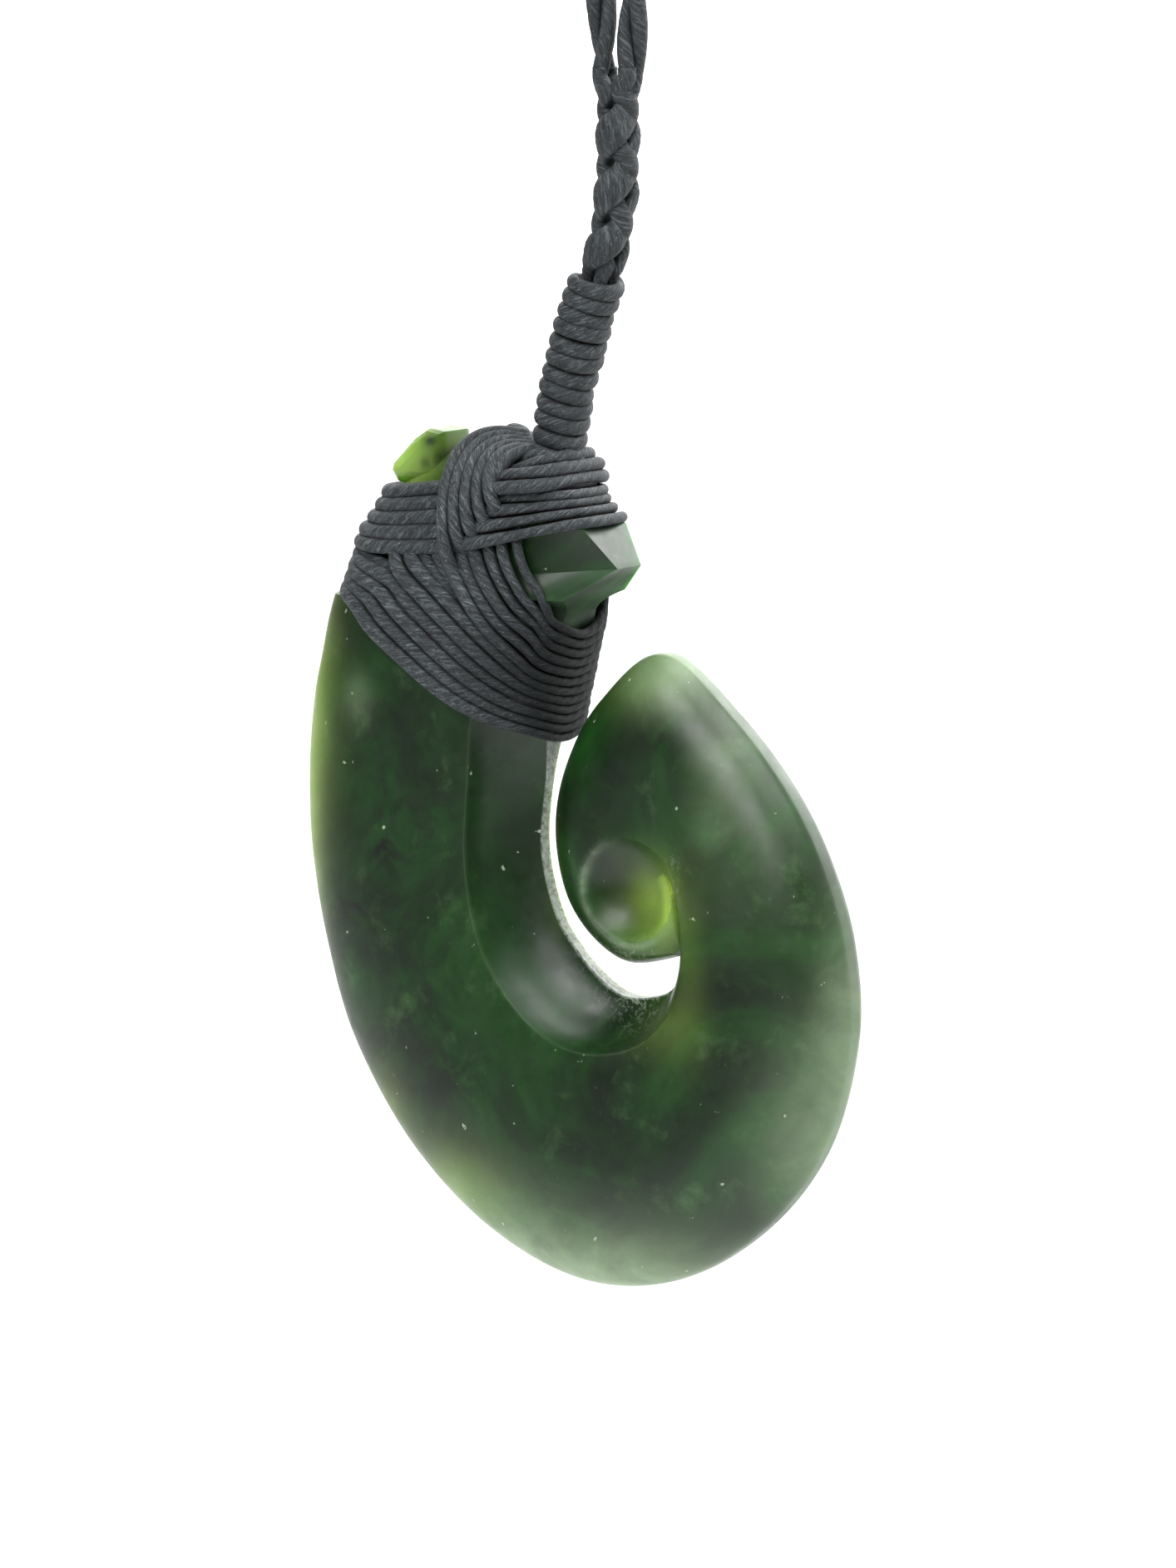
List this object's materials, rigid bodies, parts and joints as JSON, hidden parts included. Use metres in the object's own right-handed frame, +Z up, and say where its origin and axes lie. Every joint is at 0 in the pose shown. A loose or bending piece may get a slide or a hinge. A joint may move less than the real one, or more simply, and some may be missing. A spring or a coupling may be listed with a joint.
{
  "type": "hei matau pendant necklace",
  "caption": "Spiral fish-hook pendant of green stone, lashed with waxed cord to a whipped and plaited neck cord.",
  "frame": {"origin": "the neck rest, on the middle of the cord's inner side at the top of the loop", "axes": "+Z up, -Y out of the pendant's front, +X to the pendant's right as seen from the front"},
  "size_m": [0.1226, 0.0128, 0.3295],
  "materials": {
    "greenstone": "satin to polished, slightly translucent",
    "waxed_cord": "waxed, twisted"
  },
  "bodies": {
    "root": {"hook": "greenstone", "neck_lashing": "waxed_cord", "slant_lashing": "waxed_cord", "saddle_lashing": "waxed_cord", "whipping": "waxed_cord", "strand_a": "waxed_cord", "strand_b": "waxed_cord", "strand_c": "waxed_cord", "strand_d": "waxed_cord", "neck_cord": "waxed_cord"}
  },
  "joints": []
}
